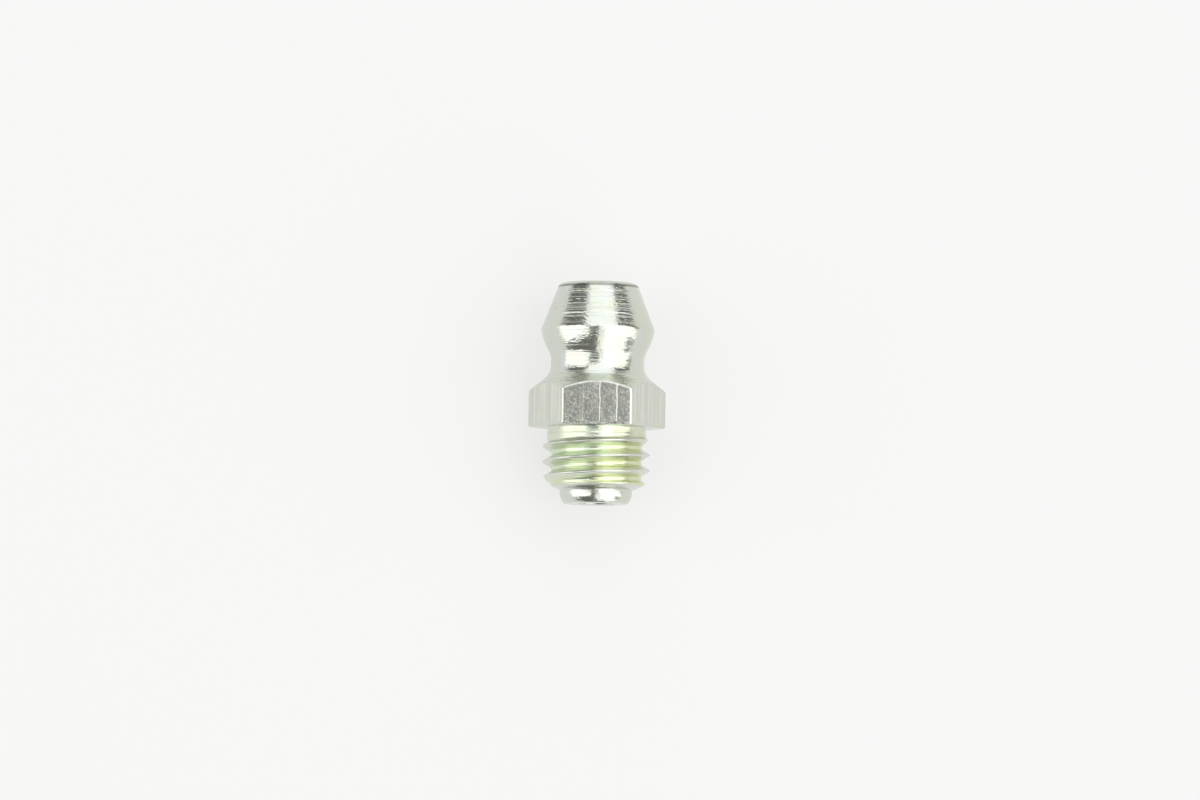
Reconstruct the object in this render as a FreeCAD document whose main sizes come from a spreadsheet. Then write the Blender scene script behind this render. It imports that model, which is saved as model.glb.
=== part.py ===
import FreeCAD, Part
import math
import os
import Sketcher

# Straight grease nipple lying on one flat of its hexagon.
# The axis of the turned form is Y: the coupler head points to +Y and the thread to -Y.
# The origin is on the axis in the seat face, which is the underside of the hexagon.
# Two flats of the hexagon are level, so the lower one is what the nipple rests on.

doc = FreeCAD.newDocument("grease_nipple")

# Driving dimensions, in millimetres and degrees

DIMENSIONS = [
    # hexagon for a 7 mm spanner, its top corners turned off by a cone
    ("hex_across_flats", 6.9),
    ("hex_flat_height", 2.5),
    ("hex_chamfer_angle", 38.4),
    ("hex_corner_radius", 0.18),
    ("hex_edge_break", 0.08),
    # waist between the hexagon and the head
    ("waist_diameter", 5.38),
    ("waist_flare_radius", 1.08),
    ("waist_land", 0.2),
    ("waist_hollow_radius", 1.3),
    # coupler head
    ("head_back_radius", 3.5),
    ("head_back_length", 1.86),
    ("head_edge_diameter", 6.56),
    ("head_edge_radius", 0.3),
    ("head_cone_angle", 21.0),
    ("head_cone_length", 2.7),
    ("head_top_radius", 0.2),
    # shank: the rolled thread is carried by its crest cylinder
    ("thread_diameter", 6.22),
    ("thread_length", 1.77),
    ("neck_depth", 0.25),
    ("neck_length", 0.46),
    ("runout_length", 0.52),
    ("lead_depth", 0.38),
    ("lead_length", 0.59),
    ("shoulder_length", 0.28),
    ("nose_diameter", 4.18),
    ("nose_length", 0.78),
    ("nose_end_radius", 0.45),
    # check ball and its conical seat
    ("ball_diameter", 2.5),
    ("ball_crown_depth", 0.05),
    ("ball_side_clearance", 0.2),
    ("ball_seat_clearance", 0.01),
    ("seat_angle", 35.0),
    ("seat_land", 0.075),
    ("inlet_countersink", 0.15),
    # spring and the rolled lip that keeps it in
    ("wire_diameter", 0.3),
    ("spring_side_clearance", 0.2),
    ("spring_end_clearance", 0.01),
    ("active_turns", 6.5),
    ("closed_turns", 0.75),
    ("closed_coil_gap", 0.02),
    ("lip_angle", 50.0),
    ("lip_thickness", 0.25),
    ("lip_overlap", 0.1),
    ("lip_edge_bevel", 0.08),
]

sizes = doc.addObject("Spreadsheet::Sheet", "sizes")
for row, (alias, value) in enumerate(DIMENSIONS, start=1):
    sizes.set(f"A{row}", alias)
    sizes.set(f"B{row}", str(value))
    sizes.setAlias(f"B{row}", alias)
doc.recompute()

# Radii and heights that follow from the driving dimensions.
# A height is a Y coordinate: above the seat face it is positive.

places = doc.addObject("App::VarSet", "places")


def derive(name, formula):
    """Add a named radius or height that follows from the sheet."""
    places.addProperty("App::PropertyFloat", name, "Places")
    places.setExpression(name, formula)
    doc.recompute()


derive("waist_radius", "sizes.waist_diameter / 2")
derive("flat_radius", "sizes.hex_across_flats / 2")
derive("bar_radius", "sizes.hex_across_flats / sqrt(3)")
derive(
    "waist",
    "sizes.hex_flat_height + (places.flat_radius - places.waist_radius) * tan(sizes.hex_chamfer_angle)"
    " + sizes.waist_flare_radius * (1 - sin(sizes.hex_chamfer_angle)) / cos(sizes.hex_chamfer_angle)",
)
derive("hollow", "places.waist + sizes.waist_land")
derive("head_edge", "places.hollow + sizes.head_back_length")
derive("head_top", "places.head_edge + sizes.head_cone_length")
derive("top_radius", "sizes.head_edge_diameter / 2 - sizes.head_cone_length * tan(sizes.head_cone_angle)")

derive("crest_radius", "sizes.thread_diameter / 2")
derive("neck_radius", "places.crest_radius - sizes.neck_depth")
derive("lead_radius", "places.crest_radius - sizes.lead_depth")
derive("nose_radius", "sizes.nose_diameter / 2")
derive("neck_end", "0 - sizes.neck_length")
derive("crest_start", "places.neck_end - sizes.runout_length")
derive("crest_end", "places.crest_start - sizes.thread_length")
derive("lead_end", "places.crest_end - sizes.lead_length")
derive("nose_start", "places.lead_end - sizes.shoulder_length")
derive("nose_end", "places.nose_start - sizes.nose_length")

derive("ball_radius", "sizes.ball_diameter / 2")
derive("ball", "places.head_top - sizes.ball_crown_depth - places.ball_radius")
derive("bore_radius", "places.ball_radius + sizes.ball_side_clearance")
derive("inlet_radius", "places.ball_radius * cos(sizes.seat_angle) - sizes.seat_land")
derive("seat_apex", "places.ball + (places.ball_radius + sizes.ball_seat_clearance) / sin(sizes.seat_angle)")
derive("seat_top", "places.seat_apex - places.inlet_radius / tan(sizes.seat_angle)")
derive("seat_bottom", "places.seat_apex - places.bore_radius / tan(sizes.seat_angle)")

derive("wire_radius", "sizes.wire_diameter / 2")
derive("coil_radius", "places.bore_radius - sizes.spring_side_clearance - places.wire_radius")
derive("exit_radius", "places.coil_radius - sizes.lip_overlap")
derive("lip_inner", "places.nose_end + sizes.lip_thickness")
derive("lip_outer", "places.lip_inner + (places.bore_radius - places.exit_radius) / tan(sizes.lip_angle)")
derive(
    "coil_bottom",
    "places.lip_inner + (places.wire_radius + sizes.spring_end_clearance"
    " + sizes.lip_overlap * cos(sizes.lip_angle)) / sin(sizes.lip_angle)",
)
derive(
    "coil_top",
    "places.ball - sqrt((places.ball_radius + places.wire_radius + sizes.spring_end_clearance) ^ 2"
    " - places.coil_radius ^ 2)",
)
derive("closed_rise", "sizes.closed_turns * (sizes.wire_diameter + sizes.closed_coil_gap)")
derive("active_rise", "places.coil_top - places.coil_bottom - 2 * places.closed_rise")


def size(formula):
    """The present value of a formula of named sizes."""
    return float(sizes.evalExpression(formula))


# Sketches


def new_sketch(body, role, name):
    """An empty sketch on one of the body's own origin planes."""
    plane = next(f for f in body.Origin.OriginFeatures if f.Role == role)
    sketch = body.newObject("Sketcher::SketchObject", name)
    sketch.AttachmentSupport = (plane, "")
    sketch.MapMode = "FlatFace"
    return sketch


def drive(sketch, constraint, formula):
    """Add a dimension to the sketch and bind it to a formula of named sizes."""
    index = sketch.addConstraint(constraint)
    sketch.setExpression(f"Constraints[{index}]", formula)


def place_point(sketch, geometry, end, radius, height):
    """Dimension a point of the sketch from the axis and from the seat face."""
    if radius == "0":
        sketch.addConstraint(Sketcher.Constraint("PointOnObject", geometry, end, -2))
    else:
        across = Sketcher.Constraint("DistanceX", -1, 1, geometry, end, size(radius))
        drive(sketch, across, radius)
    if height == "0":
        sketch.addConstraint(Sketcher.Constraint("PointOnObject", geometry, end, -1))
    else:
        along = Sketcher.Constraint("DistanceY", -1, 1, geometry, end, size(height))
        drive(sketch, along, height)


def corner(radius, height):
    """A point of a half section, from its radius and height formulas."""
    return FreeCAD.Vector(size(radius), size(height), 0)


def straight_section(body, name, corners):
    """A closed half section of straight lines through corners given as (radius, height) formulas."""
    sketch = new_sketch(body, "XY_Plane", name)
    points = [corner(*c) for c in corners]
    count = len(points)
    for i in range(count):
        sketch.addGeometry(Part.LineSegment(points[i], points[(i + 1) % count]))
    for i in range(count):
        sketch.addConstraint(Sketcher.Constraint("Coincident", i, 2, (i + 1) % count, 1))
        place_point(sketch, i, 1, *corners[i])
    return sketch


def regular_polygon(sketch, sides, radius, across, up):
    """A regular polygon round a point of the sketch, its first corner level with the point on the right."""
    centre = corner(across, up)
    reach = size(radius)
    corners = []
    for k in range(sides):
        turned = 2 * math.pi * k / sides
        corners.append(centre + FreeCAD.Vector(math.cos(turned), math.sin(turned), 0) * reach)
    for k in range(sides):
        sketch.addGeometry(Part.LineSegment(corners[k], corners[(k + 1) % sides]))
    rim = sketch.addGeometry(Part.Circle(centre, FreeCAD.Vector(0, 0, 1), reach), True)
    for k in range(sides):
        sketch.addConstraint(Sketcher.Constraint("Coincident", k, 2, (k + 1) % sides, 1))
        sketch.addConstraint(Sketcher.Constraint("PointOnObject", k, 1, rim))
    for k in range(sides - 1):
        sketch.addConstraint(Sketcher.Constraint("Equal", k, k + 1))
    sketch.addConstraint(Sketcher.Constraint("Horizontal", rim, 3, 0, 1))
    drive(sketch, Sketcher.Constraint("Radius", rim, reach), radius)
    place_point(sketch, rim, 3, across, up)


def turn(body, kind, name, sketch):
    """Revolve a half section right round the axis, to add it or to cut it."""
    feature = body.newObject(f"PartDesign::{kind}", name)
    feature.Profile = sketch
    feature.ReferenceAxis = (sketch, ["V_Axis"])
    feature.Angle = 360
    doc.recompute()
    return feature


def dress(body, kind, name, base, edges, size_name, formula):
    """Round or bevel the named edges of a feature."""
    feature = body.newObject(f"PartDesign::{kind}", name)
    feature.Base = (base, edges)
    feature.setExpression(size_name, formula)
    doc.recompute()
    return feature


def round_edges(shape, radius, height):
    """Names of the circular edges at a radius from the axis and a height above the seat face."""
    found = []
    for i, edge in enumerate(shape.Edges, start=1):
        curve = edge.Curve
        if not isinstance(curve, Part.Circle):
            continue
        if abs(curve.Radius - radius) < 1e-4 and abs(curve.Center.y - height) < 1e-4:
            found.append(f"Edge{i}")
    return found


# Nipple body: cold drawn hexagon bar, turned, drilled from the thread end and crimped

nipple = doc.addObject("PartDesign::Body", "nipple_body")

# The hexagon stands on the seat face, with two flats level and two corners on X.

hex_section = new_sketch(nipple, "XZ_Plane", "hex_section")
regular_polygon(hex_section, 6, "places.bar_radius", "0", "0")
doc.recompute()

hex_bar = nipple.newObject("PartDesign::Pad", "hex_bar")
hex_bar.Profile = hex_section
hex_bar.Reversed = True
hex_bar.setExpression("Length", "places.waist")
doc.recompute()

upright = [
    f"Edge{i}"
    for i, edge in enumerate(hex_bar.Shape.Edges, start=1)
    if abs(edge.tangentAt(edge.FirstParameter).y) > 0.99
]
hex_corner = dress(nipple, "Fillet", "hex_corner", hex_bar, upright, "Radius", "sizes.hex_corner_radius")

seat_edges = [
    f"Edge{i}"
    for i, edge in enumerate(hex_corner.Shape.Edges, start=1)
    if edge.BoundBox.YMax < 1e-6
]
hex_break = dress(nipple, "Chamfer", "hex_break", hex_corner, seat_edges, "Size", "sizes.hex_edge_break")

# One cut turns the corners off to a cone and runs it into the waist with a flare.

cut_radius = "places.bar_radius + sizes.hex_corner_radius"
cut_height = (
    "sizes.hex_flat_height - (places.bar_radius + sizes.hex_corner_radius - places.flat_radius)"
    " * tan(sizes.hex_chamfer_angle)"
)
chamfer = math.radians(size("sizes.hex_chamfer_angle"))
flare = size("sizes.waist_flare_radius")
flare_centre = corner("places.waist_radius + sizes.waist_flare_radius", "places.waist")
flare_foot = flare_centre - FreeCAD.Vector(math.sin(chamfer), math.cos(chamfer), 0) * flare
waist_corner = corner("places.waist_radius", "places.waist")
outer_corner = corner(cut_radius, "places.waist")
cone_foot = corner(cut_radius, cut_height)

flare_section = new_sketch(nipple, "XY_Plane", "flare_section")
flare_section.addGeometry(Part.LineSegment(outer_corner, waist_corner))
flare_section.addGeometry(
    Part.ArcOfCircle(
        Part.Circle(flare_centre, FreeCAD.Vector(0, 0, 1), flare), math.pi, 1.5 * math.pi - chamfer
    )
)
flare_section.addGeometry(Part.LineSegment(flare_foot, cone_foot))
flare_section.addGeometry(Part.LineSegment(cone_foot, outer_corner))
flare_section.addConstraint(Sketcher.Constraint("Coincident", 0, 2, 1, 1))
flare_section.addConstraint(Sketcher.Constraint("Tangent", 1, 2, 2, 1))
flare_section.addConstraint(Sketcher.Constraint("Coincident", 2, 2, 3, 1))
flare_section.addConstraint(Sketcher.Constraint("Coincident", 3, 2, 0, 1))
flare_section.addConstraint(Sketcher.Constraint("Horizontal", 0))
flare_section.addConstraint(Sketcher.Constraint("Vertical", 3))
flare_section.addConstraint(Sketcher.Constraint("Horizontal", 1, 3, 1, 1))
drive(flare_section, Sketcher.Constraint("Radius", 1, flare), "sizes.waist_flare_radius")
place_point(flare_section, 0, 2, "places.waist_radius", "places.waist")
place_point(flare_section, 2, 2, cut_radius, cut_height)
turn(nipple, "Groove", "flare_cut", flare_section)

# The head rises from the waist: hollow neck, convex back, sharp edge, then the cone of the nose.

back = size("sizes.head_back_radius")
hollow = size("sizes.waist_hollow_radius")
hollow_centre = corner("places.waist_radius + sizes.waist_hollow_radius", "places.hollow")
edge_corner = corner("sizes.head_edge_diameter / 2", "places.head_edge")
top_corner = corner("places.top_radius", "places.head_top")
hollow_corner = corner("places.waist_radius", "places.hollow")
top_centre = corner("0", "places.head_top")
waist_centre = corner("0", "places.waist")

# The back's centre is one back radius from the head's edge, and both radii from the hollow's centre.
towards = edge_corner - hollow_centre
reach = towards.Length
along = ((hollow + back) ** 2 - back**2 + reach**2) / (2 * reach)
aside = math.sqrt((hollow + back) ** 2 - along**2)
towards.normalize()
back_centre = hollow_centre + towards * along + FreeCAD.Vector(-towards.y, towards.x, 0) * aside
join = hollow_centre + (back_centre - hollow_centre).normalize() * hollow


def arc_between(centre, start, end):
    """The arc about a centre, counter-clockwise from one point to another."""
    first = math.atan2(start.y - centre.y, start.x - centre.x)
    last = math.atan2(end.y - centre.y, end.x - centre.x)
    circle = Part.Circle(centre, FreeCAD.Vector(0, 0, 1), (start - centre).Length)
    return Part.ArcOfCircle(circle, first, last)


head_section = new_sketch(nipple, "XY_Plane", "head_section")
head_section.addGeometry(Part.LineSegment(waist_centre, waist_corner))
head_section.addGeometry(Part.LineSegment(waist_corner, hollow_corner))
head_section.addGeometry(arc_between(hollow_centre, join, hollow_corner))
head_section.addGeometry(arc_between(back_centre, join, edge_corner))
head_section.addGeometry(Part.LineSegment(edge_corner, top_corner))
head_section.addGeometry(Part.LineSegment(top_corner, top_centre))
head_section.addGeometry(Part.LineSegment(top_centre, waist_centre))
head_section.addConstraint(Sketcher.Constraint("Coincident", 0, 2, 1, 1))
head_section.addConstraint(Sketcher.Constraint("Tangent", 1, 2, 2, 2))
head_section.addConstraint(Sketcher.Constraint("Tangent", 2, 1, 3, 1))
head_section.addConstraint(Sketcher.Constraint("Coincident", 3, 2, 4, 1))
head_section.addConstraint(Sketcher.Constraint("Coincident", 4, 2, 5, 1))
head_section.addConstraint(Sketcher.Constraint("Coincident", 5, 2, 6, 1))
head_section.addConstraint(Sketcher.Constraint("Coincident", 6, 2, 0, 1))
head_section.addConstraint(Sketcher.Constraint("Vertical", 1))
drive(head_section, Sketcher.Constraint("Radius", 2, hollow), "sizes.waist_hollow_radius")
drive(head_section, Sketcher.Constraint("Radius", 3, back), "sizes.head_back_radius")
place_point(head_section, 0, 1, "0", "places.waist")
place_point(head_section, 1, 1, "places.waist_radius", "places.waist")
place_point(head_section, 4, 1, "sizes.head_edge_diameter / 2", "places.head_edge")
place_point(head_section, 5, 1, "places.top_radius", "places.head_top")
place_point(head_section, 6, 1, "0", "places.head_top")
land_top = Sketcher.Constraint("DistanceY", 1, 1, 1, 2, size("sizes.waist_land"))
drive(head_section, land_top, "sizes.waist_land")
turn(nipple, "Revolution", "head", head_section)

# The shank hangs below the seat face: plain neck, thread crests, lead taper, shoulder and nose.

shank_section = straight_section(
    nipple,
    "shank_section",
    [
        ("0", "0"),
        ("places.neck_radius", "0"),
        ("places.neck_radius", "places.neck_end"),
        ("places.crest_radius", "places.crest_start"),
        ("places.crest_radius", "places.crest_end"),
        ("places.lead_radius", "places.lead_end"),
        ("places.nose_radius", "places.nose_start"),
        ("places.nose_radius", "places.nose_end"),
        ("0", "places.nose_end"),
    ],
)
turn(nipple, "Revolution", "shank", shank_section)

# The passage: countersunk inlet, ball seat, ball and spring bore, and the lip rolled in below it.

passage_section = straight_section(
    nipple,
    "passage_section",
    [
        ("0", "places.head_top"),
        ("0", "places.nose_end"),
        ("places.exit_radius", "places.nose_end"),
        ("places.exit_radius", "places.lip_inner"),
        ("places.bore_radius", "places.lip_outer"),
        ("places.bore_radius", "places.seat_bottom"),
        ("places.inlet_radius", "places.seat_top"),
        ("places.inlet_radius", "places.head_top - sizes.inlet_countersink"),
        ("places.inlet_radius + sizes.inlet_countersink", "places.head_top"),
    ],
)
passage = turn(nipple, "Groove", "passage", passage_section)

head_edges = round_edges(passage.Shape, size("sizes.head_edge_diameter / 2"), size("places.head_edge"))
head_round = dress(nipple, "Fillet", "head_round", passage, head_edges, "Radius", "sizes.head_edge_radius")

top_edges = round_edges(head_round.Shape, size("places.top_radius"), size("places.head_top"))
top_round = dress(nipple, "Fillet", "top_round", head_round, top_edges, "Radius", "sizes.head_top_radius")

nose_edges = round_edges(top_round.Shape, size("places.nose_radius"), size("places.nose_end"))
nose_round = dress(nipple, "Fillet", "nose_round", top_round, nose_edges, "Radius", "sizes.nose_end_radius")

lip_edges = round_edges(nose_round.Shape, size("places.exit_radius"), size("places.nose_end"))
dress(nipple, "Chamfer", "lip_bevel", nose_round, lip_edges, "Size", "sizes.lip_edge_bevel")

# Check ball: a bearing ball that the spring holds against the conical seat

check_ball = doc.addObject("Part::Sphere", "check_ball")
check_ball.setExpression("Radius", "places.ball_radius")
check_ball.setExpression("Placement.Base.y", "places.ball")

# Spring: round wire wound on the axis, from the rolled lip to the underside of the ball.
# One closed coil at each end seats it, and the open coils between them carry the ball.

spring = doc.addObject("PartDesign::Body", "check_spring")

# The wire is round. Its section is drawn with eight sides, which lie within 0.012 mm of the round.
WIRE_FACETS = 8


def wind(name, start, start_turns, rise, turns):
    """Wind one stretch of the spring from a height formula, after some turns below it."""
    section = new_sketch(spring, "XY_Plane", f"{name}_section")
    section.AttachmentOffset = FreeCAD.Placement(
        FreeCAD.Vector(), FreeCAD.Rotation(FreeCAD.Vector(0, 1, 0), 0)
    )
    section.setExpression("AttachmentOffset.Rotation.Angle", f"360 * ({start_turns})")
    regular_polygon(section, WIRE_FACETS, "places.wire_radius", "places.coil_radius", start)
    coil = spring.newObject("PartDesign::AdditiveHelix", name)
    coil.Profile = section
    coil.ReferenceAxis = (section, ["V_Axis"])
    coil.Mode = "height-turns-angle"
    coil.setExpression("Height", rise)
    coil.setExpression("Turns", turns)
    doc.recompute()


wind("lower_closed_coil", "places.coil_bottom", "0", "places.closed_rise", "sizes.closed_turns")
wind(
    "open_coils",
    "places.coil_bottom + places.closed_rise",
    "sizes.closed_turns",
    "places.active_rise",
    "sizes.active_turns",
)
wind(
    "upper_closed_coil",
    "places.coil_top - places.closed_rise",
    "sizes.closed_turns + sizes.active_turns",
    "places.closed_rise",
    "sizes.closed_turns",
)

# Test the document and write each piece to its own file

doc.recompute()
for item in doc.Objects:
    if "Invalid" in item.State or "Error" in item.State:
        raise RuntimeError(f"{item.Label} did not build: {item.State}")

os.makedirs("parts", exist_ok=True)
for piece in (nipple, check_ball, spring):
    shape = piece.Shape
    if shape.isNull() or not shape.isValid() or len(shape.Solids) != 1:
        raise RuntimeError(f"{piece.Label} is not one valid solid")
    shape.exportStep(f"parts/{piece.Label}.step")
    print(piece.Label, round(shape.Volume, 3), "mm3", shape.BoundBox)
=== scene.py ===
import math

import bmesh
import bpy
from mathutils import Matrix, Vector


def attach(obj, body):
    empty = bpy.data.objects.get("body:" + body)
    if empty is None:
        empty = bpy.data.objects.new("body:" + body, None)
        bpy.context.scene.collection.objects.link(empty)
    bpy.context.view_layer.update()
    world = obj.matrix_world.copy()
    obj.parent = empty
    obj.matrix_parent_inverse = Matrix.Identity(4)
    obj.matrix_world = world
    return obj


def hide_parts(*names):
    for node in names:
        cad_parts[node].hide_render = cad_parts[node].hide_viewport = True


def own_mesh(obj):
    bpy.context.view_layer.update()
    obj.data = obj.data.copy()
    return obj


# A straight grease nipple that lies on one flat of its hexagon, on pale paper, under soft lamps.
# Its axis is Y, with the coupler head at +Y. Sizes are in millimetres, and meshes are in metres.

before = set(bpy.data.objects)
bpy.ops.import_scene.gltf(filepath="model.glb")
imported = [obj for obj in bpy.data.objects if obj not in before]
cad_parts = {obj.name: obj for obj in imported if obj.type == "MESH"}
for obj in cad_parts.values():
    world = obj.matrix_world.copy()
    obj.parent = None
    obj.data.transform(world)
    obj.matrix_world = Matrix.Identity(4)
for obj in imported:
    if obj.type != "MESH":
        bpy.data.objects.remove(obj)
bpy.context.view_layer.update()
scene = bpy.context.scene

# Nipple body
# Free-cutting steel, cold drawn as a hexagon bar. The head is turned with a form tool and the
# thread is rolled on, so the hexagon keeps its drawn flats. It is zinc plated, with a clear,
# faintly yellow-green film.

MM = 0.001

# Hexagon, and the chamfer that is turned on its top corners
FLAT_RADIUS = 3.45
FLAT_HEIGHT = 2.5
CORNER_RADIUS = 0.18
CHAMFER_ANGLE = math.radians(38.4)
CHAMFER_ROUND = 0.1
SEAT_ROUND = 0.1

# Waist and coupler head
WAIST_RADIUS = 2.69
FLARE_RADIUS = 1.08
WAIST_LAND = 0.2
HOLLOW_RADIUS = 1.3
BACK_RADIUS = 3.5
BACK_LENGTH = 1.86
EDGE_RADIUS = 3.28
EDGE_ROUND = 0.3
CONE_ANGLE = math.radians(21)
CONE_LENGTH = 2.7
TOP_ROUND = 0.36
CONE_PLAIN_END = 0.8 * TOP_ROUND

FLARE_FOOT_RADIUS = WAIST_RADIUS + FLARE_RADIUS * (1 - math.sin(CHAMFER_ANGLE))
FLARE_FOOT = FLAT_HEIGHT + (FLAT_RADIUS - FLARE_FOOT_RADIUS) * math.tan(CHAMFER_ANGLE)
WAIST = FLARE_FOOT + FLARE_RADIUS * math.cos(CHAMFER_ANGLE)
HOLLOW = WAIST + WAIST_LAND
HEAD_EDGE = HOLLOW + BACK_LENGTH
HEAD_TOP = HEAD_EDGE + CONE_LENGTH
TOP_RADIUS = EDGE_RADIUS - CONE_LENGTH * math.tan(CONE_ANGLE)

# Neck, and the thread down to its lead taper: 28 turns to the inch
NECK_RADIUS = 2.86
NECK_LENGTH = 0.46
NECK_HOLLOW = 0.02
NECK_FILLET = 0.06
NECK_STEPS = 12
THREAD_TOP = -0.4
CREST_START = -0.98
ROOT_START = -1.1
ROOT_RUNOUT = 0.4
CREST_RADIUS = 3.11
CREST_END = -2.75
LEAD_END = -3.34
LEAD_RADIUS = 2.73
LEAD_BLEND = 0.05
PITCH = 25.4 / 28
FLANK_ANGLE = math.radians(60)
CREST_FLAT = 0.07
CREST_BLEND = 0.04
THREAD_DEPTH = 0.51
ROOT_BLEND = 0.14
FIRST_CREST = -1.55

# Nose, and the shoulder above it
NOSE_START = -3.62
NOSE_RADIUS = 2.09
NOSE_CURVE = 0.88
NOSE_CURVE_START = -3.78
NOSE_END = -4.4
NOSE_EDGE_ROUND = 0.06
SHOULDER_BLEND = 0.08
SHOULDER_STEPS = 8

# Passage: inlet, conical seat, bore, and the lip that is rolled in under the spring
BALL_RADIUS = 1.25
CROWN_DEPTH = 0.05
BALL = HEAD_TOP - CROWN_DEPTH - BALL_RADIUS
BORE_RADIUS = 1.45
SEAT_ANGLE = math.radians(35)
SEAT_CLEARANCE = 0.01
SEAT_LAND = 0.075
SEAT_APEX = BALL + (BALL_RADIUS + SEAT_CLEARANCE) / math.sin(SEAT_ANGLE)
INLET_RADIUS = BALL_RADIUS * math.cos(SEAT_ANGLE) - SEAT_LAND
INLET_COUNTERSINK = 0.15
MOUTH_ROUND = 0.05
EXIT_RADIUS = 1.0
LIP_THICKNESS = 0.25
LIP_ANGLE = math.radians(50)
LIP_INNER = NOSE_END + LIP_THICKNESS
LIP_OUTER = LIP_INNER + (BORE_RADIUS - EXIT_RADIUS) / math.tan(LIP_ANGLE)
LIP_BEVEL = 0.08

# Points of the outline are pairs: height along the axis, radius from it. Where a stretch is
# asked for, the last number is how many points it gets.


def straight(start, end, count):
    """Points from start to just before end, closer near both, where the form turns."""
    points = []
    for i in range(count):
        t = (1 - math.cos(math.pi * i / count)) / 2
        points.append((start[0] + (end[0] - start[0]) * t, start[1] + (end[1] - start[1]) * t))
    return points


def arc(centre, radius, first, last, count):
    """Points of an arc to just before its end. Its angles go from outwards towards the head."""
    points = []
    for i in range(count):
        angle = first + (last - first) * i / count
        height = centre[0] + radius * math.sin(angle)
        points.append((height, centre[1] + radius * math.cos(angle)))
    return points


def rounding(before, corner, after, radius, count):
    """Points that round the corner between the run from before and the run to after."""
    corner = Vector(corner)
    back = (Vector(before) - corner).normalized()
    on = (Vector(after) - corner).normalized()
    half = back.angle(on) / 2
    centre = corner + (back + on).normalized() * radius / math.sin(half)
    first = corner + back * radius / math.tan(half) - centre
    last = corner + on * radius / math.tan(half) - centre
    sweep = math.pi - 2 * half
    points = []
    for i in range(count + 1):
        t = i / count
        spoke = first * math.sin((1 - t) * sweep) + last * math.sin(t * sweep)
        points.append(tuple(centre + spoke / math.sin(sweep)))
    return points


def hexagon_reach(turned):
    """Distance from the axis to the side of the hexagon bar, with its drawn, rounded corners."""
    off_corner = abs((turned + math.pi / 6) % (math.pi / 3) - math.pi / 6)
    flat = FLAT_RADIUS / math.cos(math.pi / 6 - off_corner)
    centre = (FLAT_RADIUS - CORNER_RADIUS) / math.cos(math.pi / 6)
    touch = math.atan2(CORNER_RADIUS / 2, centre + CORNER_RADIUS * math.cos(math.pi / 6))
    if off_corner >= touch:
        return flat
    across = centre * math.sin(off_corner)
    return centre * math.cos(off_corner) + math.sqrt(CORNER_RADIUS**2 - across**2)


def soft_min(a, b, blend):
    """The smaller of two radii, with the corner between them rounded over about blend."""
    near = max(blend - abs(a - b), 0) / blend
    return min(a, b) - near * near * blend / 4


def share_of(height, start, end):
    """How far a height has gone from start to end, between 0 and 1."""
    return min(max((height - start) / (end - start), 0), 1)


def neck_radius(height):
    """Radius of the neck, which is a shallow hollow between the seat and the thread."""
    off_middle = 1 + 2 * height / NECK_LENGTH
    return NECK_RADIUS - NECK_HOLLOW * max(1 - off_middle**2, 0)


def thread_radius(off_crest):
    """Radius of the thread at a distance along the axis from the middle of a crest."""
    flank = CREST_RADIUS - (off_crest - CREST_FLAT / 2) * math.tan(FLANK_ANGLE)
    rooted = -soft_min(THREAD_DEPTH - CREST_RADIUS, -flank, ROOT_BLEND)
    return soft_min(CREST_RADIUS, rooted, CREST_BLEND)


def cone_radius(height, start, start_radius, end, end_radius):
    """Radius of a taper that has its two radii at two heights, or of the taper carried on."""
    return end_radius + (height - end) * (start_radius - end_radius) / (start - end)


def shank_radius(height, turned):
    """Radius of the shank: the thread fades into the neck and runs out over the lead taper."""
    turns = (height - FIRST_CREST) / PITCH - turned / (2 * math.pi)
    off_crest = abs((turns + 0.5) % 1 - 0.5) * PITCH
    neck = neck_radius(height)
    off_neck = thread_radius(off_crest) - neck
    crest_share = share_of(height, -NECK_LENGTH, CREST_START)
    root_share = share_of(height, ROOT_START + ROOT_RUNOUT, ROOT_START)
    rolled = neck + crest_share * max(off_neck, 0) + root_share * min(off_neck, 0)
    lead = cone_radius(height, CREST_END, CREST_RADIUS, LEAD_END, LEAD_RADIUS)
    shoulder = cone_radius(height, LEAD_END, LEAD_RADIUS, NOSE_START, NOSE_RADIUS)
    return soft_min(soft_min(rolled, lead, LEAD_BLEND), shoulder, SHOULDER_BLEND)


# The head's back is an arc that leaves the hollow's arc smoothly and ends at the head's edge.

hollow_centre = Vector((HOLLOW, WAIST_RADIUS + HOLLOW_RADIUS))
edge_corner = Vector((HEAD_EDGE, EDGE_RADIUS))
chord = edge_corner - hollow_centre
both = HOLLOW_RADIUS + BACK_RADIUS
along = (both**2 - BACK_RADIUS**2 + chord.length**2) / (2 * chord.length)
off_chord = math.sqrt(both**2 - along**2)
chord.normalize()
back_centre = hollow_centre + chord * along + Vector((chord.y, -chord.x)) * off_chord
to_hollow = hollow_centre - back_centre
to_edge = edge_corner - back_centre
back_first = math.atan2(to_hollow.x, to_hollow.y)
back_last = math.atan2(to_edge.x, to_edge.y)
back_tangent = Vector((math.cos(back_last), -math.sin(back_last)))
edge_run = EDGE_ROUND * math.tan((CONE_ANGLE - back_last) / 2)

# Rings that the form tool leaves on the cone: height below the head's top, depth and half width.
# Each is cut by five points: their place in half widths, and their share of the depth.
CONE_RINGS = [(0.62, 0.012, 0.05), (1.12, 0.008, 0.04), (1.93, 0.02, 0.06)]
RING_SHAPE = [(1, 0), (0.5, 0.5), (0, 1), (-0.5, 0.5), (-1, 0)]
RING_GAP = 0.2


def cone_point(below_top):
    """A point of the head's cone, from its distance below the head's top."""
    return (HEAD_TOP - below_top, TOP_RADIUS + below_top * math.tan(CONE_ANGLE))


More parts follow.
